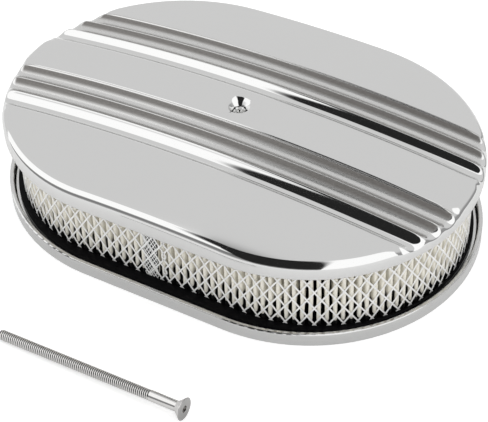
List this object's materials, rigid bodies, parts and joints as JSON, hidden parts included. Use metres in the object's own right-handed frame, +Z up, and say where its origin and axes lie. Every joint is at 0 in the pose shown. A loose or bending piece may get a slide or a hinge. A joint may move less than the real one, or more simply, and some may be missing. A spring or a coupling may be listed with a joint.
{
  "type": "carburetor air cleaner",
  "caption": "Oval carburetor air cleaner: a crowned, fluted cover over a pleated paper element in wire mesh, a low base tray with a round neck, and its loose centre bolt.",
  "frame": {"origin": "centre of the neck bore, level with the underside of the base tray", "axes": "+X along the flutes and the long way of the oval, +Y across the flutes away from the loose bolt, +Z up"},
  "size_m": [0.3074, 0.2854, 0.072],
  "materials": {
    "polished_aluminium": "mirror-polished casting",
    "tray_aluminium": "polished casting",
    "gasket_rubber": "matt",
    "seal_rubber": "glossy moulded",
    "filter_paper": "folded paper, matt",
    "mesh_coating": "white coated, satin",
    "seam_metal": "fine coated mesh",
    "bolt_steel": "bright plated"
  },
  "bodies": {
    "root": {"top_cover": "polished_aluminium", "base_tray": "tray_aluminium", "neck_gasket": "gasket_rubber", "lower_seal": "seal_rubber", "upper_seal": "seal_rubber", "paper_pleats": "filter_paper", "outer_mesh": "mesh_coating", "inner_mesh": "mesh_coating", "seam_strip": "seam_metal", "centre_bolt": "bolt_steel"}
  },
  "joints": []
}
